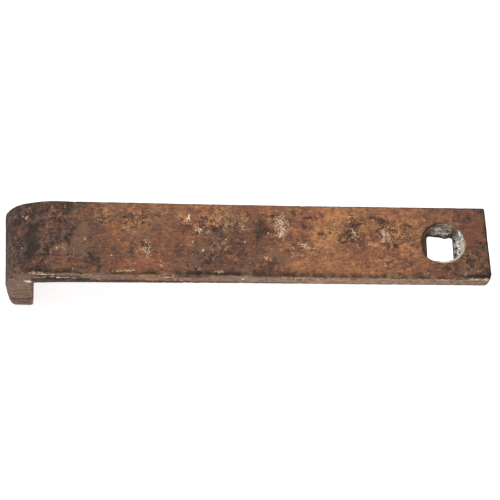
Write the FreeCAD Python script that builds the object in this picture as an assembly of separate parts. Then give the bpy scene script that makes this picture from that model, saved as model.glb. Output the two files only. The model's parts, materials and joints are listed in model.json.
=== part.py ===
import FreeCAD, Part
import math
import os

# Hooked latch bar: a flat forged bar, 2 in wide. One end is bent square into a toe that catches behind a
# keeper. The other end has an eye: a round recess in the front face with a square hole in its floor.
# Frame, in millimetres: the origin is the centre of the square hole, on the flat back face. +X runs along
# the bar from the toe to the eye's end, +Y across it, and +Z out of the front face.

# Driving dimensions of the bar
BAR_LENGTH = 320.7        # outer face of the toe to the eye's end
BAR_WIDTH = 50.8
EYE_THICKNESS = 12.7      # front face to flat back face, around the eye
HOOK_THICKNESS = 19.05    # the same, at the inner corner of the bend
SWELL_LENGTH = 240.0      # length over which the bar thickens towards the bend
EYE_TO_END = 30.2         # eye's axis to the end of the bar
ARRIS_RADIUS = 1.1        # softened edges of the whole forging

# Driving dimensions of the bent toe
HOOK_DEPTH = 63.5         # front face to the toe's tip
TOE_TIP_THICKNESS = 14.3
BEND_OUTER_RADIUS = 28.6
BEND_INNER_RADIUS = 2.0
TOE_TIP_RADIUS = 3.0

# Driving dimensions of the eye
RECESS_RADIUS = 13.5
RECESS_DEPTH = 8.4        # front face to the recess's floor
RECESS_CHAMFER = 1.1
SQUARE_SIDE = 17.5
SQUARE_CORNER_RADIUS = 1.5

# Places that follow from the dimensions
x_end = EYE_TO_END
x_toe_outer = x_end - BAR_LENGTH
x_inner_corner = x_toe_outer + HOOK_THICKNESS
x_swell_end = x_inner_corner + SWELL_LENGTH
z_front = EYE_THICKNESS
z_inner_corner = z_front - HOOK_THICKNESS
z_tip = z_front - HOOK_DEPTH
z_floor = z_front - RECESS_DEPTH
half_width = BAR_WIDTH / 2.0


def side_point(x, z):
    """A point of the bar's side profile, on its -Y side."""
    return FreeCAD.Vector(x, -half_width, z)


def line(start, end):
    return Part.LineSegment(start, end).toShape()


def arc(start, middle, end):
    return Part.Arc(start, middle, end).toShape()


def swell_height(x):
    """Height of the back face where the bar thickens: a large arc, tangent to the flat back."""
    drop = -z_inner_corner
    radius = (SWELL_LENGTH**2 + drop**2) / (2.0 * drop)
    return math.sqrt(radius**2 - (x_swell_end - x) ** 2) - radius


def side_profile():
    """Closed outline of the bar and its toe, seen from the side, as a face."""
    bend_shift = BEND_OUTER_RADIUS * (1.0 - math.sqrt(0.5))
    x_swell_middle = (x_inner_corner + x_swell_end) / 2.0
    end_front = side_point(x_end, z_front)
    bend_front = side_point(x_toe_outer + BEND_OUTER_RADIUS, z_front)
    bend_middle = side_point(x_toe_outer + bend_shift, z_front - bend_shift)
    bend_toe = side_point(x_toe_outer, z_front - BEND_OUTER_RADIUS)
    tip_outer = side_point(x_toe_outer, z_tip)
    tip_inner = side_point(x_toe_outer + TOE_TIP_THICKNESS, z_tip)
    inner_corner = side_point(x_inner_corner, z_inner_corner)
    swell_middle = side_point(x_swell_middle, swell_height(x_swell_middle))
    swell_end = side_point(x_swell_end, 0.0)
    end_back = side_point(x_end, 0.0)
    edges = [
        line(end_front, bend_front),
        arc(bend_front, bend_middle, bend_toe),
        line(bend_toe, tip_outer),
        line(tip_outer, tip_inner),
        line(tip_inner, inner_corner),
        arc(inner_corner, swell_middle, swell_end),
        line(swell_end, end_back),
        line(end_back, end_front),
    ]
    return Part.Face(Part.Wire(edges))


def edges_across(solid, places, reach=0.01):
    """The edges that run straight across the bar at the given places of its side profile."""
    found = []
    for edge in solid.Edges:
        box = edge.BoundBox
        if box.YLength < BAR_WIDTH - reach:
            continue
        if any(math.hypot(box.XMin - x, box.ZMin - z) < reach for x, z in places):
            found.append(edge)
    return found


def forged_bar():
    """The bent bar without its eye, with every arris softened."""
    bar = side_profile().extrude(FreeCAD.Vector(0, BAR_WIDTH, 0))
    bar = bar.makeFillet(BEND_INNER_RADIUS, edges_across(bar, [(x_inner_corner, z_inner_corner)]))
    tip_places = [(x_toe_outer, z_tip), (x_toe_outer + TOE_TIP_THICKNESS, z_tip)]
    bar = bar.makeFillet(TOE_TIP_RADIUS, edges_across(bar, tip_places))
    end_edges = edges_across(bar, [(x_end, z_front), (x_end, 0.0)])
    side_edges = [edge for edge in bar.Edges if edge.BoundBox.YLength < 0.01]
    return bar.makeFillet(ARRIS_RADIUS, end_edges + side_edges)


def round_recess():
    """The recess's space: a cylinder that opens in a chamfer at the front face."""
    axis = FreeCAD.Vector(0, 0, 1)
    well = Part.makeCylinder(RECESS_RADIUS, RECESS_DEPTH, FreeCAD.Vector(0, 0, z_floor), axis)
    mouth_base = FreeCAD.Vector(0, 0, z_front - RECESS_CHAMFER)
    mouth = Part.makeCone(RECESS_RADIUS, RECESS_RADIUS + RECESS_CHAMFER, RECESS_CHAMFER, mouth_base, axis)
    return well.fuse(mouth)


def square_hole():
    """The square hole's space, from below the back face up into the recess."""
    clear = 2.0
    half = SQUARE_SIDE / 2.0
    height = z_floor + 2.0 * clear
    block = Part.makeBox(SQUARE_SIDE, SQUARE_SIDE, height, FreeCAD.Vector(-half, -half, -clear))
    upright = [edge for edge in block.Edges if edge.BoundBox.ZLength > height / 2.0]
    return block.makeFillet(SQUARE_CORNER_RADIUS, upright)


os.makedirs("parts", exist_ok=True)
latch_bar = forged_bar().cut(round_recess()).cut(square_hole())
latch_bar.exportStep("parts/latch_bar.step")
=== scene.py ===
import itertools
import json
import math

import bpy
import numpy as np
from mathutils import Matrix, Vector, kdtree


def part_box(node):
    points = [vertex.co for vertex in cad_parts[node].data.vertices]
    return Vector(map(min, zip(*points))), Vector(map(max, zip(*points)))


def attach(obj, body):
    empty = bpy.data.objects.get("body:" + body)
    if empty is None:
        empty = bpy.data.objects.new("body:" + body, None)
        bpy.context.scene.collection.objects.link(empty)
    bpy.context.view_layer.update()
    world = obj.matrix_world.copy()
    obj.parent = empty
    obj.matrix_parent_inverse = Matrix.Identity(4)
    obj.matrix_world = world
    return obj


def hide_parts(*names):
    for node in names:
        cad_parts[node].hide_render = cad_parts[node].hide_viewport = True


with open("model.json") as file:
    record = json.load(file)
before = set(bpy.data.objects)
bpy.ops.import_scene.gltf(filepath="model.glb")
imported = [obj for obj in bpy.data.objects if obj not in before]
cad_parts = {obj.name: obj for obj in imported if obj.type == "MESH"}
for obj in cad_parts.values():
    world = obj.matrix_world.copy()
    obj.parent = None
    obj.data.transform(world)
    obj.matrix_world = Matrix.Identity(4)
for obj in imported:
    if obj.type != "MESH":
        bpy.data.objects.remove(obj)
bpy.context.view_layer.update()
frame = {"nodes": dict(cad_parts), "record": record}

# A hooked latch bar: one rusted forging with a bent toe at its low-X end and a round-mouthed, square-holed
# eye at its high-X end. Shapes below are worked in millimetres, in the CAD frame, and stored in metres.

MM = 0.001
NODE = "latch_bar"

box_low, box_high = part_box(NODE)
X_TOE = box_low.x / MM            # outer face of the toe
X_END = box_high.x / MM           # the eye's end
Z_TIP = box_low.z / MM            # the toe's tip
Z_FRONT = box_high.z / MM         # front face; the flat back face is at Z = 0
HALF_WIDTH = box_high.y / MM
Y_NEAR = -HALF_WIDTH              # the long narrow side that faces the camera

mounts = {mount["name"]: mount for mount in frame["record"]["mounts"]}
RECESS_RADIUS = mounts["eye_recess"]["dims"]["r_mm"]
RECESS_DEPTH = mounts["eye_recess"]["dims"]["length_mm"] + 1.1
SQUARE_HALF = 8.75
X_INNER_CORNER = X_TOE + 19.05    # inner corner of the bend
Z_INNER_CORNER = Z_FRONT - 19.05

VOXEL = 0.5                       # spacing of the dense surface mesh

EXTRA_HALF_WIDTH = 0.37           # how far each side of the real forging stands out
END_SKEW = 1.0                    # how far the eye's end leans at each side
TOE_SKEW = 1.5                    # how far the bend leans at each side
TIP_THICKENING = 1.8              # how far the toe's inner face stands out near its tip
TIP_BATTER = 1.3                  # how far the toe's outer face leans in at its tip


# ---------------------------------------------------------------- numbers over the surface

def ramp(value, low, high):
    """0 below low and 1 above high, smoothly in between. low may be above high, for a falling ramp."""
    t = np.clip((value - low) / (high - low), 0.0, 1.0)
    return t * t * (3.0 - 2.0 * t)


def noise(points, size, seed):
    """Smooth gradient noise, about -1 to 1, with features about size across."""
    table_length = 4096
    slopes = np.random.default_rng(seed).normal(size=(table_length, 3))
    slopes /= np.linalg.norm(slopes, axis=1)[:, None]
    place = points / size
    cell = np.floor(place).astype(np.int64)
    inside = place - cell
    fade = inside**3 * (inside * (inside * 6.0 - 15.0) + 10.0)
    total = np.zeros(len(points))
    for corner in itertools.product((0, 1), repeat=3):
        step = np.array(corner)
        key = (cell + step) * np.array((73856093, 19349663, 83492791))
        slope = slopes[(key[:, 0] ^ key[:, 1] ^ key[:, 2]) % table_length]
        weight = np.prod(np.where(step == 1, fade, 1.0 - fade), axis=1)
        total += weight * np.sum(slope * (inside - step), axis=1)
    return total * 1.6


def fractal(points, size, seed, octaves=4, gain=0.5):
    """Noise with finer and weaker noise on top of it."""
    total = np.zeros(len(points))
    strength = 1.0
    for octave in range(octaves):
        total += strength * noise(points, size / 2.0**octave, seed + octave)
        strength *= gain
    return total


def warped(points, size, reach, seed):
    """The same points, each moved by up to about reach, so that shapes drawn on them get ragged edges."""
    shift = [fractal(points, size, seed + 10 * axis, 3) for axis in range(3)]
    return points + reach * np.stack(shift, axis=1)


def spot(points, centre, radii):
    """1 at the centre of an ellipsoid, falling to about a third on its surface."""
    offset = (points - np.array(centre)) / np.array(radii)
    return np.exp(-np.sum(offset**2, axis=1))


def along_bar(points, stops):
    """A value that follows (place along X, value) stops."""
    places, values = zip(*stops)
    return np.interp(points[:, 0], places, values)


# ---------------------------------------------------------------- the forging's mesh

def dense_copy(node_object, name):
    """A closed even mesh of a CAD node's surface."""
    mesh = node_object.data.copy()
    source = bpy.data.objects.new(name + "_source", mesh)
    bpy.context.scene.collection.objects.link(source)
    remesh = source.modifiers.new("even", "REMESH")
    remesh.mode = "VOXEL"
    remesh.voxel_size = VOXEL * MM
    remesh.use_smooth_shade = True
    graph = bpy.context.evaluated_depsgraph_get()
    dense = bpy.data.meshes.new_from_object(source.evaluated_get(graph))
    bpy.data.objects.remove(source)
    piece = bpy.data.objects.new(name, dense)
    bpy.context.scene.collection.objects.link(piece)
    return piece


def read_points(mesh):
    flat = np.empty(len(mesh.vertices) * 3)
    mesh.vertices.foreach_get("co", flat)
    return flat.reshape(-1, 3) / MM


def read_normals(mesh):
    flat = np.empty(len(mesh.vertices) * 3)
    mesh.vertices.foreach_get("normal", flat)
    return flat.reshape(-1, 3)


def write_points(mesh, points):
    mesh.vertices.foreach_set("co", (points * MM).ravel())
    mesh.update()


def read_edges(mesh):
    flat = np.empty(len(mesh.edges) * 2, np.int64)
    mesh.edges.foreach_get("vertices", flat)
    return flat.reshape(-1, 2)


def smoothed(values, edges, rounds):
    """Values averaged over their neighbours, again and again."""
    count = np.bincount(edges.ravel(), minlength=len(values))[:, None]
    first, second = edges[:, 0], edges[:, 1]
    for _ in range(rounds):
        total = np.empty_like(values)
        for axis in range(values.shape[1]):
            column = values[:, axis]
            total[:, axis] = np.bincount(first, column[second], len(values))
            total[:, axis] += np.bincount(second, column[first], len(values))
        values = (values + total / count) / 2.0
    return values


def bulge(points, normals, edges):
    """How far each point stands out of its neighbourhood: above 0 on arrises, below 0 in corners."""
    return np.sum((points - smoothed(points, edges, 40)) * normals, axis=1)


def bowed(points):
    """The bar's slight bow towards its near side, and the spread of its metal at the bend."""
    moved = points.copy()
    middle = (X_TOE + X_END) / 2.0
    share = (points[:, 0] - middle) / ((X_END - X_TOE) / 2.0)
    moved[:, 1] -= 0.6 * (1.0 - share**2)
    near_bend = spot(points, (X_INNER_CORNER, 0.0, Z_INNER_CORNER), (11.0, 1000.0, 9.0))
    moved[:, 1] += 0.02 * points[:, 1] * near_bend
    lip = spot(points, (X_TOE, Y_NEAR, -1.0), (4.0, 3.4, 8.0))
    moved[:, 0] -= 1.7 * lip
    return moved


def out_of_square(points):
    """Both ends cut and bent a little out of square, the bar a little wide, the toe's tip thick."""
    moved = points.copy()
    across = points[:, 1] / HALF_WIDTH
    moved[:, 1] += EXTRA_HALF_WIDTH * across
    moved[:, 0] -= END_SKEW * across * np.clip((points[:, 0] - 10.0) / (X_END - 10.0), 0.0, 1.0)
    moved[:, 0] -= TOE_SKEW * across * np.clip((-262.0 - points[:, 0]) / (-262.0 - X_TOE), 0.0, 1.0)
    tip = ramp(points[:, 2], -16.0, Z_TIP + 8.0) * ramp(points[:, 0], X_INNER_CORNER + 2.0, X_INNER_CORNER + 1.0)
    moved[:, 0] += TIP_THICKENING * tip * ramp(points[:, 0], X_TOE + 6.0, X_TOE + 12.0)
    moved[:, 0] += TIP_BATTER * ramp(points[:, 2], -34.0, Z_TIP) * ramp(points[:, 0], X_TOE + 12.0, X_TOE + 6.0)
    moved[:, 1] -= 0.8 * ramp(points[:, 0], -256.0, -272.0) * ramp(points[:, 1], 4.0, HALF_WIDTH)
    return moved


def rounded_end_corner(points, side, radius):
    """Rounds the bar's end corner on the +Y or -Y side, seen from the front."""
    moved = points.copy()
    a = points[:, 0] - (X_END - radius)
    b = side * points[:, 1] - (HALF_WIDTH - radius)
    inside = (a > 0.0) & (b > 0.0)
    reach = np.hypot(a, b)
    shrink = np.where(inside, np.maximum(a, b) / np.maximum(reach, 1e-6), 1.0)
    moved[inside, 0] = (X_END - radius) + (a * shrink)[inside]
    moved[inside, 1] = side * ((HALF_WIDTH - radius) + (b * shrink)[inside])
    return moved


def worn_toe(points):
    """The toe's tip narrows a little across the bar."""
    moved = points.copy()
    taper = ramp(points[:, 2], Z_TIP + 9.0, Z_TIP)
    moved[:, 1] *= 1.0 - 0.045 * taper
    return moved


def worn_eye(points):
    """The recess's floor dishes towards the square hole, and its mouth is beaten uneven."""
    moved = points.copy()
    radius = np.hypot(points[:, 0], points[:, 1])
    z_floor = Z_FRONT - RECESS_DEPTH
    moved[:, :2] -= (0.4 * ramp(radius, RECESS_RADIUS + 7.0, RECESS_RADIUS + 1.5))[:, None]
    moved[:, 1] -= 1.4 * spot(points, (3.6, SQUARE_HALF + 0.2, z_floor - 1.8), (2.8, 0.9, 1.4))
    floor = ramp(radius, RECESS_RADIUS + 0.2, RECESS_RADIUS - 1.0)
    floor *= ramp(points[:, 2], z_floor - 2.4, z_floor - 0.4)
    floor *= ramp(points[:, 2], z_floor + 1.6, z_floor + 0.5)
    dish = ramp(radius, RECESS_RADIUS, SQUARE_HALF)
    moved[:, 2] -= 2.2 * floor * dish
    near_wall = ramp(points[:, 1], -7.6, -8.4) * ramp(points[:, 1], -11.5, -10.0)
    near_wall *= ramp(np.abs(points[:, 0]), 9.6, 7.8) * ramp(points[:, 2], z_floor + 1.0, z_floor - 0.5)
    moved[:, 1] -= 0.9 * near_wall
    far_wall = ramp(np.abs(points[:, 1] - SQUARE_HALF), 3.0, 0.4) * ramp(points[:, 2], z_floor - 0.4, 0.3)
    far_wall *= ramp(points[:, 0], 4.0, -2.0) * ramp(points[:, 0], -10.5, -8.0)
    moved[:, 1] += 1.1 * far_wall
    mouth = ramp(points[:, 2], Z_FRONT - 3.0, Z_FRONT) * ramp(radius, RECESS_RADIUS + 4.0, RECESS_RADIUS)
    uneven = noise(points, 5.0, 71) * 0.35 * mouth
    near_lip = ramp(np.abs(radius - RECESS_RADIUS), 1.0, 0.3) * ramp(points[:, 1], -7.0, -RECESS_RADIUS)
    near_lip *= ramp(points[:, 2], Z_FRONT - 0.3, Z_FRONT - 1.0) * ramp(points[:, 2], z_floor + 0.5, z_floor + 2.5)
    turn = np.arctan2(points[:, 1], points[:, 0])
    low_corner = ramp(np.cos(turn + math.radians(138.0)), 0.82, 0.97) * ramp(radius, RECESS_RADIUS + 3.0, RECESS_RADIUS)
    low_corner *= ramp(points[:, 2], z_floor + 0.5, z_floor + 2.5)
    outward = uneven - 1.1 * near_lip + 1.0 * low_corner
    moved[:, 0] += outward * points[:, 0] / np.maximum(radius, 1.0)
    moved[:, 1] += outward * points[:, 1] / np.maximum(radius, 1.0)
    return moved


# Seams where the forged skin has split: (from X, to X, Y, Z, depth, half width)
SEAMS = (
    (-285.0, -234.0, Y_NEAR, 11.7, 1.2, 0.95),
    (-283.0, -262.0, -24.0, Z_FRONT, 0.8, 0.65),
    (-271.0, -236.0, Y_NEAR, 6.2, 1.1, 0.85),
    (-264.0, -226.0, Y_NEAR, 2.2, 1.0, 1.10),
    (-222.0, -184.0, Y_NEAR, 12.0, 0.9, 0.80),
    (-186.0, -152.0, Y_NEAR, 9.8, 0.9, 0.80),
    (-172.0, -128.0, -25.2, Z_FRONT, 0.7, 0.60),
    (-131.0, -80.0, Y_NEAR, 12.1, 0.9, 0.95),
    (-88.0, -36.0, Y_NEAR, 12.1, 0.7, 0.75),
    (-40.0, 18.0, Y_NEAR, 11.8, 0.5, 0.65),
    (12.0, X_END + 5.0, -23.8, Z_FRONT, 1.5, 0.90),
    (-290.0, -270.0, Y_NEAR, -35.0, 0.5, 0.60),
    (-252.0, -196.0, HALF_WIDTH, 8.5, 0.9, 0.80),
    (-128.0, -66.0, HALF_WIDTH, 4.5, 0.8, 0.70),
    (-34.0, 16.0, HALF_WIDTH, 9.0, 0.8, 0.70),
)


def seam_depth(points):
    """Depth of the split seams at each point, and how dirty they make it."""
    depth = np.zeros(len(points))
    darkening = np.zeros(len(points))
    along = points * np.array((1.0, 0.0, 0.0))
    for index, (start, end, y, z, deep, half) in enumerate(SEAMS):
        offset = 0.9 * noise(along, 11.0, 300 + index) + 0.45 * noise(along, 2.8, 330 + index)
        on_side = abs(y) > HALF_WIDTH - 0.5
        across = points[:, 1] - y - (0.0 if on_side else offset)
        upright = points[:, 2] - z - (offset if on_side else 0.0)
        distance = np.hypot(across * (0.4 if on_side else 1.0), upright * (1.0 if on_side else 0.4))
        strength = ramp(points[:, 0], start, start + 5.0) * ramp(points[:, 0], end, end - 5.0)
        strength *= 0.35 + 0.65 * ramp(noise(along, 5.0, 360 + index), -0.40, 0.15)
        depth = np.maximum(depth, deep * strength * np.exp(-(distance / half) ** 2))
        darkening = np.maximum(darkening, np.minimum(1.3 * strength, 1.0) * np.exp(-(distance / (1.3 * half)) ** 2))
    return depth, darkening


def pit_depth(points, seed, count, smallest, largest, deepest):
    """Depth of small round corrosion pits, scattered over the whole surface."""
    tree = kdtree.KDTree(len(points))
    for index, point in enumerate(points):
        tree.insert(point, index)
    tree.balance()
    draw = np.random.default_rng(seed)
    depth = np.zeros(len(points))
    chosen = draw.integers(0, len(points), count)
    sizes = smallest + (largest - smallest) * draw.random(count) ** 3
    depths = deepest * (0.35 + 0.65 * draw.random(count))
    for centre, size, deep in zip(chosen, sizes, depths):
        for _, index, distance in tree.find_range(points[centre], 2.0 * size):
            pit = deep * math.exp(-(distance / size) ** 2)
            depth[index] = max(depth[index], pit)
    return depth


def forge(piece):
    """Turns the clean CAD shape into the uneven, corroded forging, and keeps what the material needs."""
    mesh = piece.data
    edges = read_edges(mesh)
    points = smoothed(read_points(mesh), edges, 1)
    points = rounded_end_corner(points, -1.0, 3.2)
    points = rounded_end_corner(points, 1.0, 1.2)
    points = worn_toe(worn_eye(out_of_square(bowed(points))))
    write_points(mesh, points)
    normals = read_normals(mesh)
    stand_out = bulge(points, normals, edges)
    arris = ramp(stand_out, 0.05, 0.3)

    in_eye = ramp(np.hypot(points[:, 0], points[:, 1]), RECESS_RADIUS + 1.4, RECESS_RADIUS + 0.2)
    skin = 1.0 - 0.85 * in_eye
    seams, seam_dirt = seam_depth(points)
    pits = pit_depth(points, 5, 2600, 0.5, 1.5, 0.24)
    lift = skin * 0.13 * fractal(points, 42.0, 11, 2)
    lift += skin * (1.0 - 0.7 * arris) * 0.11 * fractal(points, 12.0, 21, 3)
    lift += skin * (1.0 - 0.7 * arris) * 0.05 * fractal(points, 2.6, 31, 2)
    wear = arris * (0.02 + 0.14 * ramp(noise(points, 9.0, 41), -0.1, 0.7))
    points = points + normals * (lift - wear - seams - skin * pits)[:, None]
    write_points(mesh, points)
    return {
        "arris": arris,
        "hollow": ramp(stand_out, -0.05, -0.3),
        "pits": ramp(pits, 0.05, 0.20),
        "seams": seam_dirt,
    }


# ---------------------------------------------------------------- where the rust is dark, warm or pale, and where light and shade are painted

# Warmth of the rust along the bar, 0 for dark scale to 1 for orange rust, on three lines of the front face
WARMTH_TOP = (
    (-290, 0.14), (-262, 0.16), (-250, 0.17), (-236, 0.38), (-224, 0.54), (-205, 0.56), (-172, 0.68),
    (-145, 0.68), (-128, 0.58), (-112, 0.70), (-92, 0.64), (-78, 0.94), (-62, 0.76), (-30, 0.76), (0, 0.56),
    (30, 0.30),
)
WARMTH_MIDDLE = (
    (-290, 0.17), (-279, 0.02), (-266, 0.10), (-252, 0.24), (-232, 0.38), (-208, 0.56), (-172, 0.54),
    (-158, 0.46), (-140, 0.40), (-124, 0.36), (-108, 0.66), (-94, 0.54), (-76, 0.94), (-62, 0.50),
    (-48, 0.58), (-22, 0.68), (0, 0.48), (30, 0.32),
)
WARMTH_LOW = (
    (-290, 0.24), (-262, 0.24), (-250, 0.44), (-230, 0.25), (-208, 0.56), (-196, 0.64), (-180, 0.42),
    (-158, 0.32), (-136, 0.34), (-118, 0.44), (-100, 0.64), (-88, 0.74), (-64, 0.80), (-40, 0.72),
    (-14, 0.54), (12, 0.36), (30, 0.30),
)
# Dust and painted sheen on the narrow sides: red-brown near the bend, pale and grey towards the eye
DUST_AND_SHEEN_ALONG_BAR = ((-290, 0.20), (-262, 0.30), (-240, 0.45), (-215, 0.30), (-175, 0.28), (-150, 0.50), (-130, 0.80),
        (-95, 0.90), (-60, 0.65), (-40, 0.78), (0, 0.62), (30, 0.45))

FRONT = Z_FRONT
# Blotches on the rust: (centre, radii, strength)
DARK_BLOTCHES = (
    ((-271, -2, FRONT), (8, 17, 12), 1.0), ((-266, 17, FRONT), (10, 8, 9), 0.55), ((-250, 19, FRONT), (9, 4, 6), 0.6),
    ((-248, -4, FRONT), (3.5, 5, 6), 0.75), ((-252, 8, FRONT), (5, 7, 6), 0.4), ((-228, 12, FRONT), (6, 3, 6), 0.5),
    ((-211, 14, FRONT), (5, 3, 6), 0.5), ((-197, 13, FRONT), (4, 2.4, 6), 0.8), ((-147, 4, FRONT), (9, 7, 6), 0.55),
    ((-236, -19, FRONT), (12, 5, 6), 0.35), ((-156, -16, FRONT), (14, 7, 6), 0.55), ((-140, -6, FRONT), (7, 9, 6), 0.35),
    ((-122, 6, FRONT), (8, 11, 6), 0.72), ((-110, 15.5, FRONT), (8, 1.3, 6), 0.95), ((-91, 9, FRONT), (6, 8, 6), 0.62),
    ((-88, 16, FRONT), (6, 1.1, 6), 1.0), ((-80.5, 4.5, FRONT), (2.4, 1.9, 6), 1.3), ((-62, 4, FRONT), (7, 6, 6), 0.95),
    ((-58, 11, FRONT), (5, 6, 6), 0.85), ((-66, -1, FRONT), (4, 3, 6), 0.7), ((-41, 13, FRONT), (5.5, 5, 6), 0.95),
    ((-37, 4, FRONT), (4, 3, 6), 0.75), ((-24, 12.2, FRONT), (2.2, 0.8, 6), 1.5), ((-20, -2, FRONT), (3.5, 6, 6), 0.35),
    ((-48, -16, FRONT), (9, 5, 6), 0.35), ((19, 2, FRONT), (6, 16, 6), 0.25), ((18, -17, FRONT), (9, 5, 6), 0.55),
    ((26, -16, FRONT), (1.0, 1.0, 6), 1.3), ((2, -20, FRONT), (5, 3, 6), 0.5), ((22, 12, FRONT), (3, 5, 6), 0.4),
    ((-205, -14, FRONT), (8, 4, 6), 0.25), ((-172, 1, FRONT), (4, 5, 6), 0.3), ((-74, -10, FRONT), (3, 2, 6), 0.6),
    ((-255, Y_NEAR, 1), (8, 4, 2.2), 0.9), ((-239, Y_NEAR, -1), (8, 4, 2.0), 0.9), ((-213, Y_NEAR, 1), (9, 4, 2.0), 0.6),
    ((-266, Y_NEAR, 6), (5, 4, 2.4), 0.5), ((-281, Y_NEAR, -12), (6, 4, 5), 0.35), ((-276, Y_NEAR, -44), (7, 4, 6), 0.4),
)
WARM_BLOTCHES = (
    ((-73, 7, FRONT), (6, 15, 7), 0.60), ((-84, 3, FRONT), (4, 6, 6), 0.5), ((-35, -6, FRONT), (12, 5, 6), 0.35),
    ((-224, 17, FRONT), (9, 5, 6), 0.4), ((-205, 21, FRONT), (20, 3.0, 6), 0.3), ((-146, 17, FRONT), (20, 6, 6), 0.3),
    ((-28, -4, FRONT), (3, 2.4, 6), 0.5), ((-100, -16, FRONT), (18, 4, 6), 0.2), ((-21, 17, FRONT), (6, 5, 6), 0.25),
    ((-262, 13, FRONT), (2.6, 9, 6), 0.7), ((-248, 15, FRONT), (1.6, 3, 6), 0.5), ((-220, 2, FRONT), (9, 9, 6), 0.2),
    ((-224, -25, 9), (13, 5, 4), 0.75), ((-157, Y_NEAR, 5), (22, 4, 6), 0.55),
    ((-192, Y_NEAR, 7), (18, 4, 6), 0.5), ((-285, Y_NEAR, -25), (1.8, 4, 2.2), 1.0),
)
PALE_BLOTCHES = (
    ((-168.6, 15.2, FRONT), (1.0, 2.6, 4), 1.15), ((-162, 6, FRONT), (3.0, 3.0, 4), 0.45),
    ((-165.5, -2.4, FRONT), (0.9, 0.8, 4), 1.0), ((-278, 15.6, FRONT - 1), (0.9, 1.1, 4), 1.15),
    ((-275.4, 13.5, FRONT - 1), (1.8, 1.6, 4), 0.6), ((-282, 0.4, FRONT - 3), (0.8, 1.4, 4), 0.9),
    ((-236, -1.5, FRONT), (0.7, 0.7, 4), 1.0), ((-252, -8.5, FRONT), (4.0, 1.4, 4), 0.45),
    ((-133, 8, FRONT), (1.5, 2.2, 4), 0.55), ((-144, 9, FRONT), (1.6, 1.2, 4), 0.5),
    ((-107.5, 8, FRONT), (3.6, 7.5, 4), 0.62), ((-93, -4, FRONT), (6.0, 2.6, 4), 0.50),
    ((-59, 4.5, FRONT), (1.8, 3.4, 4), 0.75), ((-39, 3.0, FRONT), (2.8, 5.0, 4), 0.52),
    ((-46, -3, FRONT), (4.0, 1.2, 4), 0.45), ((-118, -14, FRONT), (1.6, 2.4, 4), 0.52), ((-110, 15, FRONT), (7, 2.4, 4), 0.36),
    ((-206, 4, FRONT), (4.0, 2.6, 4), 0.30), ((-195, -9, FRONT), (4.0, 4.5, 4), 0.32),
    ((-208, -24.0, FRONT), (6.0, 0.9, 4), 0.75), ((-159, -9, FRONT), (0.9, 0.9, 4), 0.7),
    ((-88, -14, FRONT), (7.0, 0.8, 4), 0.35), ((-96, -11, FRONT), (3.0, 0.9, 4), 0.40),
)
# Torn flakes of pale scale along the near edge: (centre, radii, strength)
TORN_FLAKES = (
    ((-268, Y_NEAR, 10.6), (9, 2, 0.8), 1.0), ((-262, Y_NEAR, 8.6), (9, 2, 0.8), 1.0),
    ((-253, Y_NEAR, 3.9), (8, 2, 0.9), 1.2), ((-243, Y_NEAR, 1.9), (6, 2, 0.8), 1.0),
    ((-272.5, Y_NEAR, -3.6), (3.2, 2, 1.6), 1.4), ((-229, Y_NEAR, 1.6), (4.8, 2, 1.3), 1.3),
    ((-214, -24.4, FRONT), (3, 0.8, 2), 0.8), ((-133, Y_NEAR, 7.1), (1.8, 2, 1.2), 1.2),
    ((-148, -24.0, FRONT), (3.0, 0.8, 2), 0.9), ((-180, Y_NEAR, 8.4), (7, 2, 1.0), 0.7),
    ((20, -25.6, FRONT - 2.0), (3.6, 1.4, 1.1), 1.0), ((27, -25.4, FRONT - 1.8), (2.6, 1.4, 1.2), 1.1),
    ((-2, Y_NEAR, 9.8), (9, 2, 0.8), 0.6), ((14, -22.3, FRONT), (1.2, 1.2, 2), 0.40),
    ((23, -20.4, FRONT), (2.2, 1.2, 2), 0.34), ((-96, Y_NEAR, 10.2), (16, 2, 0.7), 0.6),
    ((-30, Y_NEAR, 10.0), (9, 2, 0.6), 0.5),
)
# Dark cracks and chipped places along the near edge: (centre, radii, strength)
CRACKS = (
    ((-274, -24.2, FRONT), (9, 0.8, 3), 0.9), ((-281, -24.6, FRONT - 0.5), (3, 1.6, 2), 1.0),
    ((-264, -25.3, FRONT - 0.3), (16, 0.9, 0.8), 1.3), ((-254, Y_NEAR, 6.2), (15, 2, 0.7), 1.4), ((-245, -25.6, FRONT - 0.6), (8, 1.0, 1.0), 0.9),
    ((-252, Y_NEAR, 1.2), (9, 2, 1.6), 0.8), ((-203, -25.4, FRONT - 0.6), (12, 1.0, 0.8), 0.8),
    ((-173, -25.2, FRONT - 0.4), (6, 1.0, 0.8), 0.6), ((24, -23.5, FRONT), (6, 0.75, 3), 1.8),
    ((29.4, -23.2, FRONT), (1.4, 1.6, 3), 1.4), ((15, -24.0, FRONT), (5, 0.5, 3), 0.9),
    ((-120, -25.4, FRONT - 0.6), (7, 0.9, 0.8), 0.9), ((-104, -25.4, FRONT - 0.6), (8, 0.9, 0.8), 0.9),
    ((-78, -25.4, FRONT - 0.6), (10, 0.8, 0.7), 0.6), ((-52, -25.4, FRONT - 0.6), (6, 0.8, 0.7), 0.5),
)
# Redder rust: (centre, radii, strength)
RED_BLOTCHES = (
    ((-204, -18, FRONT), (8, 7, 6), 0.8), ((-215, 8, FRONT), (10, 6, 6), 0.4), ((-97, 8, FRONT), (4, 6, 6), 0.9),
    ((-28, -4, FRONT), (6, 5, 6), 0.9), ((-45, -14, FRONT), (16, 6, 6), 0.6), ((22, 8, FRONT), (6, 12, 6), 0.7),
    ((-160, Y_NEAR, 5), (24, 5, 6), 0.8), ((-12, 20, FRONT), (14, 4, 6), 0.5), ((-122, 18, FRONT), (8, 4, 6), 0.5),
)

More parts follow.
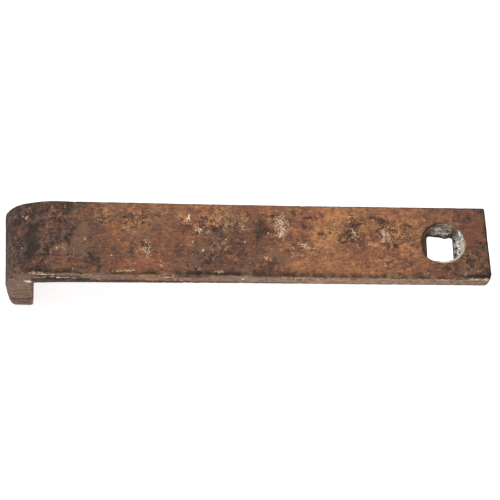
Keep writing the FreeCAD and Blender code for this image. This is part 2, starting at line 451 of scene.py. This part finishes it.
# Crusty, gritty rust; the rest of the front face is smooth scale: (centre, radii, strength)
CRUSTY_PLACES = (
    ((-259, 16, FRONT), (4, 9, 6), 0.7), ((-250, 18, FRONT), (3, 6, 6), 0.7), ((-279, 15, FRONT), (5, 5, 6), 0.8),
    ((-281, -8, FRONT), (3, 12, 6), 0.6), ((-258, -13, FRONT), (10, 7, 6), 0.45), ((-228, 15, FRONT), (8, 8, 6), 0.6),
    ((-203, 13, FRONT), (13, 8, 6), 0.8), ((-206, -11, FRONT), (6, 9, 6), 0.5), ((-196, -7, FRONT), (5, 6, 6), 0.7),
    ((-150, 13, FRONT), (24, 9, 6), 1.1), ((-150, -5, FRONT), (14, 11, 6), 0.7), ((-165, -22, FRONT), (6, 4, 6), 0.7),
    ((-106, 9, FRONT), (8, 10, 6), 1.0), ((-91, -6, FRONT), (11, 8, 6), 0.7), ((-74, 5, FRONT), (10, 10, 6), 0.9),
    ((-58, 8, FRONT), (9, 10, 6), 1.2), ((-33, 5, FRONT), (13, 12, 6), 1.1), ((-33, -13, FRONT), (14, 7, 6), 0.7),
    ((-115, -16, FRONT), (6, 5, 6), 0.5), ((19, -14, FRONT), (8, 7, 6), 0.6), ((14, 13, FRONT), (5, 5, 6), 0.5),
)


def blotches(points, table):
    """The strongest blotch at each point."""
    total = np.zeros(len(points))
    for centre, radii, strength in table:
        total = np.maximum(total, strength * spot(points, centre, radii))
    return total


def rust_fields(points, normals, forged):
    """Everything the material reads from the surface, one number per point and name."""
    ragged = warped(points, 7.0, 2.2, 500)
    fine = warped(points, 2.5, 0.9, 560)
    y = ragged[:, 1]
    top = ramp(y, 3.0, 17.0)
    low = ramp(y, -3.0, -17.0)
    warmth = along_bar(ragged, WARMTH_MIDDLE) * (1.0 - top) * (1.0 - low)
    warmth += along_bar(ragged, WARMTH_TOP) * top + along_bar(ragged, WARMTH_LOW) * low
    hidden = ramp(normals[:, 2], 0.2, -0.4)
    elsewhere = 0.46 + 0.26 * fractal(points, 30.0, 610, 3)
    warmth = warmth * (1.0 - hidden) + elsewhere * hidden
    warmth += 0.13 * fractal(points, 11.0, 620, 4, 0.7)
    warmth += 0.40 * blotches(ragged, WARM_BLOTCHES)
    dark = blotches(ragged, DARK_BLOTCHES)
    dark = np.clip(dark + 0.40 * ramp(fractal(points, 14.0, 640, 5, 0.65), 0.30, 1.0), 0.0, 1.3)
    pale = np.maximum(blotches(fine, PALE_BLOTCHES), blotches(fine, TORN_FLAKES))
    on_front = ramp(normals[:, 2], 0.3, 0.7) * ramp(points[:, 2], 0.5, 3.0)
    crusty = blotches(ragged, CRUSTY_PLACES) * on_front
    crusty += ramp(fractal(points, 24.0, 690, 3), -0.2, 0.6) * (1.0 - on_front)

    radius = np.hypot(points[:, 0], points[:, 1])
    in_eye = ramp(radius, RECESS_RADIUS + 0.9, RECESS_RADIUS + 0.2)
    turn = np.arctan2(points[:, 1], points[:, 0])
    # painted highlight: the worn metal on the recess's right side is painted near white
    highlit_side = ramp(np.cos(turn + math.radians(5.0)), 0.45, 0.85)
    worn_side = ramp(np.cos(turn - math.radians(60.0)), 0.15, 0.75)
    worn_side *= 1.0 - 0.55 * ramp(np.abs(turn - math.radians(52.0)), math.radians(13.0), math.radians(4.0))
    # painted shade along the square hole's edge, reaching further on its right, where the wall is in shadow
    from_square = np.maximum(np.abs(points[:, 0]) - 1.0 * (points[:, 0] > 0.0), np.abs(points[:, 1]))
    shade_round_square = ramp(from_square, SQUARE_HALF + 1.5, SQUARE_HALF + 0.5)
    bare_and_highlit = np.maximum(highlit_side, 0.62 * worn_side) * in_eye * ramp(points[:, 2], 1.0, 3.0)
    narrow_side = ramp(np.abs(normals[:, 1]), 0.45, 0.85) * (1.0 - in_eye)

    # painted shade where the bar turns away from the light: the far arris, the eye's end and the outside of the bend,
    # also the near lower arris and the toe's arrises
    turned_away_shade = ramp(points[:, 1], HALF_WIDTH - 1.5, HALF_WIDTH - 0.5)
    turned_away_shade = np.maximum(turned_away_shade, ramp(points[:, 0] + 0.8 * points[:, 1] / HALF_WIDTH, X_END - 1.9, X_END - 0.9))
    turned_away_shade = np.maximum(turned_away_shade, 0.9 * ramp(-normals[:, 0], 0.82, 0.95) * ramp(points[:, 0], X_TOE + 4.0, X_TOE + 1.0))
    lower_arris = ramp(points[:, 2], 3.0, 1.7) * ramp(points[:, 1], Y_NEAR + 2.0, Y_NEAR + 1.0)
    turned_away_shade = np.maximum(turned_away_shade, 0.9 * lower_arris * ramp(points[:, 0], X_INNER_CORNER - 1.0, X_INNER_CORNER + 1.0))
    toe_arris = ramp(points[:, 0], X_INNER_CORNER - 1.2, X_INNER_CORNER - 0.2) * ramp(points[:, 2], -7.0, -8.0)
    tip_arris = ramp(points[:, 2], Z_TIP + 1.4, Z_TIP + 0.5)
    turned_away_shade = np.maximum(turned_away_shade, 0.8 * np.maximum(toe_arris, tip_arris))
    mouth = ramp(np.abs(radius - RECESS_RADIUS), 1.6, 0.9) * ramp(points[:, 2], Z_FRONT - 1.9, Z_FRONT - 1.2)
    redness = 0.5 + 0.42 * fractal(ragged, 19.0, 660, 4, 0.6) + 0.3 * blotches(ragged, RED_BLOTCHES)
    redness -= 0.14 * ramp(ragged[:, 0], -222.0, -250.0)
    return {
        "warmth": np.clip(warmth, 0.0, 1.0),
        "dark": dark,
        "pale": pale,
        "crusty": np.clip(crusty, 0.0, 1.2),
        "bare_and_highlit": bare_and_highlit,
        "in_eye": in_eye,
        "square_edge_shade": shade_round_square * in_eye,
        # painted shadow on the upper-left of the recess's mouth
        "mouth_shadow": mouth * ramp(np.cos(turn - math.radians(140.0)), 0.35, 0.9),
        # painted highlight on the lower-right rim of the recess's mouth
        "mouth_highlight": mouth * ramp(np.cos(turn + math.radians(60.0)), 0.2, 0.9),
        "turned_away_shade": turned_away_shade,
        "redness": np.clip(redness, 0.0, 1.0),
        # dust and painted sheen of grazing reflection on the narrow sides
        "dust_and_sheen": narrow_side * along_bar(ragged, DUST_AND_SHEEN_ALONG_BAR),
        **forged,
        "seams": np.maximum(forged["seams"], np.clip(blotches(fine, CRACKS), 0.0, 1.0)),
    }


def store_fields(mesh, fields):
    for name, values in fields.items():
        layer = mesh.attributes.new(name, "FLOAT", "POINT")
        layer.data.foreach_set("value", values.astype(np.float32))


# ---------------------------------------------------------------- the rust material

def colour(red, green, blue):
    """A linear colour from the usual 0 to 255 screen values."""
    channels = (value / 255.0 for value in (red, green, blue))
    linear = [((c + 0.055) / 1.055) ** 2.4 if c > 0.04045 else c / 12.92 for c in channels]
    return (*linear, 1.0)


DEEP_SCALE = colour(50, 40, 37)
UMBER = colour(88, 66, 57)
RED_BROWN = colour(118, 79, 60)
SIENNA = colour(143, 97, 70)
OCHRE = colour(178, 124, 79)
RED_RUST = colour(136, 80, 63)
OLIVE = colour(122, 98, 80)
TAN_DUST_AND_SHEEN = colour(152, 131, 111)
PALE_OCHRE = colour(205, 168, 128)
CREAM = colour(236, 222, 200)
# dark colour for seams, cracks and specks, and for painted shade and shadow
DARK_DIRT_AND_SHADE = colour(28, 21, 19)
# near-white painted highlight on worn steel
STEEL_HIGHLIGHT = colour(244, 242, 235)
GREY_STEEL = colour(142, 123, 103)


class Shader:
    """Adds and joins the nodes of one material, in few words."""

    def __init__(self, name):
        self.material = bpy.data.materials.new(name)
        self.material.use_nodes = True
        self.tree = self.material.node_tree
        self.surface = self.tree.nodes["Principled BSDF"]
        place = self.tree.nodes.new("ShaderNodeTexCoord")
        scale = self.tree.nodes.new("ShaderNodeVectorMath")
        scale.operation = "SCALE"
        scale.inputs["Scale"].default_value = 1.0 / MM
        self.tree.links.new(place.outputs["Object"], scale.inputs[0])
        self.millimetres = scale.outputs["Vector"]

    def put(self, value, socket):
        """Joins a node's output to a socket, or sets the socket to a plain value."""
        if isinstance(value, bpy.types.NodeSocket):
            self.tree.links.new(value, socket)
        else:
            socket.default_value = value

    def field(self, name):
        node = self.tree.nodes.new("ShaderNodeAttribute")
        node.attribute_name = name
        return node.outputs["Fac"]

    def at(self, shift, stretch):
        """The place in millimetres, moved by shift and squeezed by stretch along each axis."""
        node = self.tree.nodes.new("ShaderNodeMapping")
        self.put(self.millimetres, node.inputs["Vector"])
        node.inputs["Location"].default_value = (shift, shift, shift)
        node.inputs["Scale"].default_value = stretch
        return node.outputs["Vector"]

    def noise(self, size, detail=4.0, roughness=0.55, distortion=0.0, shift=0.0, stretch=(1.0, 1.0, 1.0)):
        node = self.tree.nodes.new("ShaderNodeTexNoise")
        self.put(self.at(shift, stretch), node.inputs["Vector"])
        node.inputs["Scale"].default_value = 1.0 / size
        node.inputs["Detail"].default_value = detail
        node.inputs["Roughness"].default_value = roughness
        node.inputs["Distortion"].default_value = distortion
        return node.outputs["Fac"]

    def cells(self, size, shift=0.0):
        """Distance from the nearest of many scattered points, and a random number for that point."""
        node = self.tree.nodes.new("ShaderNodeTexVoronoi")
        self.put(self.at(shift, (1.0, 1.0, 1.0)), node.inputs["Vector"])
        node.inputs["Scale"].default_value = 1.0 / size
        parts = self.tree.nodes.new("ShaderNodeSeparateColor")
        self.put(node.outputs["Color"], parts.inputs["Color"])
        return node.outputs["Distance"], parts.outputs["Red"]

    def specks(self, size, share, reach, shift):
        """Small spots on the given share of scattered points."""
        distance, chance = self.cells(size, shift)
        chosen = self.between(chance, 1.0 - share, 1.0 - 0.6 * share)
        return self.math("MULTIPLY", chosen, self.between(distance, reach, 0.4 * reach))

    def math(self, operation, first, second=0.0, clamp=False):
        node = self.tree.nodes.new("ShaderNodeMath")
        node.operation = operation
        node.use_clamp = clamp
        self.put(first, node.inputs[0])
        self.put(second, node.inputs[1])
        return node.outputs[0]

    def between(self, value, low, high, to_low=0.0, to_high=1.0):
        """value from low to high, mapped smoothly to to_low to to_high and held there outside."""
        node = self.tree.nodes.new("ShaderNodeMapRange")
        node.interpolation_type = "SMOOTHSTEP"
        self.put(value, node.inputs["Value"])
        node.inputs["From Min"].default_value = low
        node.inputs["From Max"].default_value = high
        node.inputs["To Min"].default_value = to_low
        node.inputs["To Max"].default_value = to_high
        return node.outputs["Result"]

    def blend(self, factor, first, second, how="MIX"):
        node = self.tree.nodes.new("ShaderNodeMix")
        node.data_type = "RGBA"
        node.blend_type = how
        self.put(factor, node.inputs["Factor"])
        self.put(first, node.inputs[6])
        self.put(second, node.inputs[7])
        return node.outputs[2]

    def colours(self, value, stops):
        node = self.tree.nodes.new("ShaderNodeValToRGB")
        self.put(value, node.inputs["Fac"])
        elements = node.color_ramp.elements
        while len(elements) < len(stops):
            elements.new(1.0)
        for element, (place, shade) in zip(elements, stops):
            element.position = place
            element.color = shade
        return node.outputs["Color"]

    def bump(self, height, distance, strength, under=None):
        node = self.tree.nodes.new("ShaderNodeBump")
        self.put(height, node.inputs["Height"])
        node.inputs["Distance"].default_value = distance * MM
        node.inputs["Strength"].default_value = strength
        if under is not None:
            self.put(under, node.inputs["Normal"])
        return node.outputs["Normal"]


def rust_material():
    """Old brown rust over forge scale, with bare worn metal inside the eye, and painted highlights and shade."""
    s = Shader("rusted_forging")
    grit = s.noise(0.9, 3.0, 0.75)
    crust = s.noise(2.8, 7.0, 0.70, 0.3)
    clouds = s.noise(9.0, 6.0, 0.62, 0.6)
    flakes = s.noise(4.6, 8.0, 0.66, 0.8, shift=37.0)
    drawn = s.noise(1.5, 5.0, 0.68, shift=91.0, stretch=(0.35, 1.0, 1.0))
    hue = s.noise(6.5, 7.0, 0.68, 0.5, shift=143.0)

    # crusty places are gritty and broken up, and smooth scale is not
    crusty = s.math("ADD", s.field("crusty"), s.between(hue, 0.38, 0.62, -0.30, 0.25))
    crusty = s.math("ADD", crusty, s.math("MULTIPLY", s.field("pale"), 0.8), clamp=True)
    grain = s.math("MULTIPLY", s.between(grit, 0.34, 0.66, -1.0, 1.0), s.between(crusty, 0.0, 1.0, 0.45, 1.70))
    broken = s.math("MULTIPLY", s.between(crust, 0.34, 0.66, -1.0, 1.0), s.between(crusty, 0.0, 1.0, 0.13, 0.42))
    streaks = s.math("MULTIPLY", s.between(drawn, 0.34, 0.66, -1.0, 1.0), s.between(crusty, 0.0, 1.0, 0.16, 0.26))
    edges = s.math("MULTIPLY", s.between(flakes, 0.34, 0.66, -1.0, 1.0), s.between(crusty, 0.0, 1.0, 0.26, 0.62))

    # warmth of the rust, broken up at several sizes
    warmth = s.math("ADD", s.field("warmth"), broken)
    warmth = s.math("ADD", warmth, s.between(clouds, 0.30, 0.70, -0.16, 0.16))
    warmth = s.math("ADD", warmth, streaks)
    warmth = s.math("ADD", warmth, s.math("MULTIPLY", grain, 0.26), clamp=True)
    shade = s.colours(
        warmth,
        ((0.0, DEEP_SCALE), (0.25, UMBER), (0.5, RED_BROWN), (0.75, SIENNA), (1.0, OCHRE)),
    )
    redness = s.math("ADD", s.field("redness"), s.between(hue, 0.32, 0.68, -0.25, 0.25))
    shade = s.blend(s.between(redness, 0.40, 0.10, 0.0, 0.50), shade, OLIVE)
    shade = s.blend(s.between(redness, 0.60, 0.95, 0.0, 0.42), shade, RED_RUST)

    # dust and painted sheen on the narrow sides, grey and tan
    dust_and_sheen_mix = s.math("MULTIPLY", s.field("dust_and_sheen"), s.between(crust, 0.38, 0.58, 0.25, 1.0))
    shade = s.blend(dust_and_sheen_mix, shade, TAN_DUST_AND_SHEEN)

    # dark scale in ragged patches, with dark lines where its flakes end
    ragged = s.math("ADD", s.field("dark"), edges)
    ragged = s.math("ADD", ragged, s.math("MULTIPLY", grain, 0.22))
    shade = s.blend(s.between(ragged, 0.36, 0.85, 0.0, 0.80), shade, DEEP_SCALE)
    lines = s.math("ABSOLUTE", s.math("SUBTRACT", flakes, 0.53))
    lines = s.math("MULTIPLY", s.between(lines, 0.020, 0.0), s.between(clouds, 0.48, 0.60, 0.0, 0.80))
    shade = s.blend(lines, shade, DARK_DIRT_AND_SHADE)

    # ochre crumbs and pale lifted flakes
    crumbs = s.math("ADD", s.field("pale"), s.math("MULTIPLY", grain, 0.28))
    crumbs = s.math("ADD", crumbs, s.between(crust, 0.38, 0.62, -0.22, 0.22))
    shade = s.blend(s.between(crumbs, 0.24, 0.62, 0.0, 0.85), shade, PALE_OCHRE)
    shade = s.blend(s.between(crumbs, 0.66, 1.0, 0.0, 0.95), shade, CREAM)
    clustered = s.math("MULTIPLY", s.between(hue, 0.54, 0.64, 0.02, 0.80), s.between(warmth, 0.30, 0.60))
    shade = s.blend(s.math("MULTIPLY", s.specks(1.9, 0.34, 0.50, 11.0), clustered), shade, PALE_OCHRE)
    shade = s.blend(s.math("MULTIPLY", s.specks(3.1, 0.035, 0.22, 51.0), 0.7), shade, CREAM)
    clustered = s.math("MULTIPLY", s.between(clouds, 0.42, 0.54, 0.85, 0.0), crusty)
    shade = s.blend(s.math("MULTIPLY", s.specks(1.8, 0.30, 0.46, 71.0), clustered), shade, DARK_DIRT_AND_SHADE)

    # arrises rubbed lighter, except where they turn away and get painted shade; hollows, pits and seams darker
    rubbed = s.math("MULTIPLY", s.field("arris"), s.between(crust, 0.48, 0.62, 0.0, 0.32))
    shade = s.blend(rubbed, shade, TAN_DUST_AND_SHEEN)
    darkening = s.math("MULTIPLY", s.field("pits"), s.between(clouds, 0.40, 0.60, 0.15, 0.60))
    darkening = s.math("MAXIMUM", darkening, s.math("MULTIPLY", s.field("hollow"), 0.5))
    darkening = s.math("MAXIMUM", darkening, s.math("MULTIPLY", s.field("seams"), s.between(grit, 0.30, 0.50, 0.55, 1.0)))
    # painted shade where the bar turns away from the light
    darkening = s.math("MAXIMUM", darkening, s.math("MULTIPLY", s.field("turned_away_shade"), s.between(crust, 0.30, 0.66, 1.0, 0.75)))
    shade = s.blend(s.math("MULTIPLY", darkening, 0.92), shade, DARK_DIRT_AND_SHADE)

    # inside the eye: brown film, bare worn steel with dark scratches and a painted highlight on its right side, painted
    # shade round the square, a painted shadow and a painted highlight on the mouth's rim
    film = s.math("MULTIPLY", s.field("in_eye"), 0.55)
    shade = s.blend(film, shade, UMBER)
    worn_and_highlit = s.math("ADD", s.field("bare_and_highlit"), s.between(grit, 0.34, 0.66, -0.30, 0.30))
    worn_and_highlit = s.between(worn_and_highlit, 0.30, 0.72)
    # the painted highlight, near-white steel, is strongest on the recess's right side
    painted_highlight = s.between(s.field("bare_and_highlit"), 0.60, 0.90)
    scratches = s.noise(2.0, 4.0, 0.70, 0.4, shift=211.0, stretch=(0.12, 1.1, 1.6))
    dots = s.noise(1.6, 3.0, 0.75, 0.2, shift=233.0)
    marks = s.math("MULTIPLY", s.math("SUBTRACT", dots, scratches), painted_highlight)
    marks = s.math("ADD", scratches, marks)
    marks = s.math("ADD", marks, s.math("MULTIPLY", painted_highlight, 0.013))
    steel_and_highlight = s.blend(s.between(marks, 0.46, 0.54), GREY_STEEL, STEEL_HIGHLIGHT)
    steel_and_highlight = s.blend(s.between(marks, 0.46, 0.41), steel_and_highlight, DARK_DIRT_AND_SHADE)
    # away from the painted highlight the steel is pulled towards grey
    steel_and_highlight = s.blend(s.math("MULTIPLY", s.math("SUBTRACT", 1.0, painted_highlight), 0.35), steel_and_highlight, GREY_STEEL)
    shade = s.blend(worn_and_highlit, shade, steel_and_highlight)
    # painted shade round the square hole
    shade = s.blend(s.math("MULTIPLY", s.field("square_edge_shade"), s.between(crust, 0.35, 0.60, 0.9, 0.45)), shade, DARK_DIRT_AND_SHADE)
    # painted shadow on the upper-left of the recess's mouth
    shade = s.blend(s.math("MULTIPLY", s.field("mouth_shadow"), 0.75), shade, DARK_DIRT_AND_SHADE)
    # painted highlight on the lower-right rim of the recess's mouth
    shade = s.blend(s.math("MULTIPLY", s.field("mouth_highlight"), s.between(grit, 0.35, 0.60, 0.25, 0.85)), shade, CREAM)

    s.put(shade, s.surface.inputs["Base Color"])
    s.put(s.math("MULTIPLY", worn_and_highlit, 0.30), s.surface.inputs["Metallic"])
    roughness = s.between(crust, 0.25, 0.75, 0.70, 0.92)
    roughness = s.math("SUBTRACT", roughness, s.math("MULTIPLY", worn_and_highlit, 0.40))
    s.put(roughness, s.surface.inputs["Roughness"])
    s.surface.inputs["Specular IOR Level"].default_value = 0.2

    normal = s.bump(clouds, 0.5, 0.35)
    normal = s.bump(flakes, 0.35, 0.55, normal)
    normal = s.bump(crust, 0.30, 0.60, normal)
    normal = s.bump(grain, 0.05, 0.60, normal)
    s.put(normal, s.surface.inputs["Normal"])
    return s.material


# ---------------------------------------------------------------- studio

CAMERA_DISTANCE = 1.0006
CAMERA_AZIMUTH = math.radians(-6.787)
CAMERA_ELEVATION = math.radians(66.26)
CAMERA_ROLL = math.radians(7.191)
CAMERA_LENS = 109.85
AIM_FROM_TOE = 162.41             # from the toe's outer face, along the bar
AIM_OFF_CENTRE = -7.97            # across the bar


def make_camera():
    azimuth, elevation = CAMERA_AZIMUTH, CAMERA_ELEVATION
    back = Vector((
        math.sin(azimuth) * math.cos(elevation),
        -math.cos(azimuth) * math.cos(elevation),
        math.sin(elevation),
    ))
    aim = Vector((X_TOE + AIM_FROM_TOE, AIM_OFF_CENTRE, Z_FRONT)) * MM
    camera = bpy.data.objects.new("camera", bpy.data.cameras.new("camera"))
    camera.data.lens = CAMERA_LENS
    camera.data.sensor_width = 36.0
    camera.data.clip_start = 0.01
    camera.data.clip_end = 20.0
    turn = (-back).to_track_quat("-Z", "Y").to_matrix() @ Matrix.Rotation(CAMERA_ROLL, 3, "Z")
    camera.matrix_world = Matrix.Translation(aim + back * CAMERA_DISTANCE) @ turn.to_4x4()
    bpy.context.scene.collection.objects.link(camera)
    bpy.context.scene.camera = camera


def soft_light(name, place, aim, size, watts, tint):
    lamp = bpy.data.lights.new(name, "AREA")
    lamp.shape = "DISK"
    lamp.size = size
    lamp.energy = watts
    lamp.color = tint
    light = bpy.data.objects.new(name, lamp)
    light.location = place
    light.rotation_euler = (Vector(aim) - Vector(place)).to_track_quat("-Z", "Y").to_euler()
    bpy.context.scene.collection.objects.link(light)


def make_floor(glow):
    """A plain pale floor at the level of the toe's tip."""
    half = 3.0
    level = (Z_TIP - 0.2) * MM
    corners = [(-half, -half, level), (half, -half, level), (half, half, level), (-half, half, level)]
    mesh = bpy.data.meshes.new("floor")
    mesh.from_pydata(corners, [], [(0, 1, 2, 3)])
    floor = bpy.data.objects.new("floor", mesh)
    bpy.context.scene.collection.objects.link(floor)
    paint = bpy.data.materials.new("pale_floor")
    paint.use_nodes = True
    surface = paint.node_tree.nodes["Principled BSDF"]
    surface.inputs["Base Color"].default_value = (0.62, 0.62, 0.63, 1.0)
    surface.inputs["Roughness"].default_value = 0.95
    surface.inputs["Emission Color"].default_value = (1.0, 1.0, 1.0, 1.0)
    surface.inputs["Emission Strength"].default_value = glow
    mesh.materials.append(paint)


def make_studio():
    world = bpy.data.worlds.new("studio")
    world.use_nodes = True
    sky = world.node_tree.nodes["Background"]
    sky.inputs["Color"].default_value = (1.0, 1.0, 1.0, 1.0)
    sky.inputs["Strength"].default_value = 0.55
    bpy.context.scene.world = world
    bpy.context.scene.view_settings.view_transform = "Standard"
    make_floor(glow=0.70)
    centre = ((X_TOE + X_END) / 2.0 * MM, 0.0, 0.0)
    soft_light("key", (-0.55, 0.35, 1.1), centre, 0.6, 7.6, (1.0, 0.99, 0.97))
    soft_light("fill", (0.5, -0.8, 0.7), centre, 0.8, 4.0, (0.98, 0.99, 1.0))


# ---------------------------------------------------------------- build

bar = dense_copy(frame["nodes"][NODE], "forged_bar")
forged = forge(bar)
bar_points = read_points(bar.data)
store_fields(bar.data, rust_fields(bar_points, read_normals(bar.data), forged))
bar.data.materials.clear()
bar.data.materials.append(rust_material())
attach(bar, "root")
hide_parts(NODE)

make_camera()
make_studio()
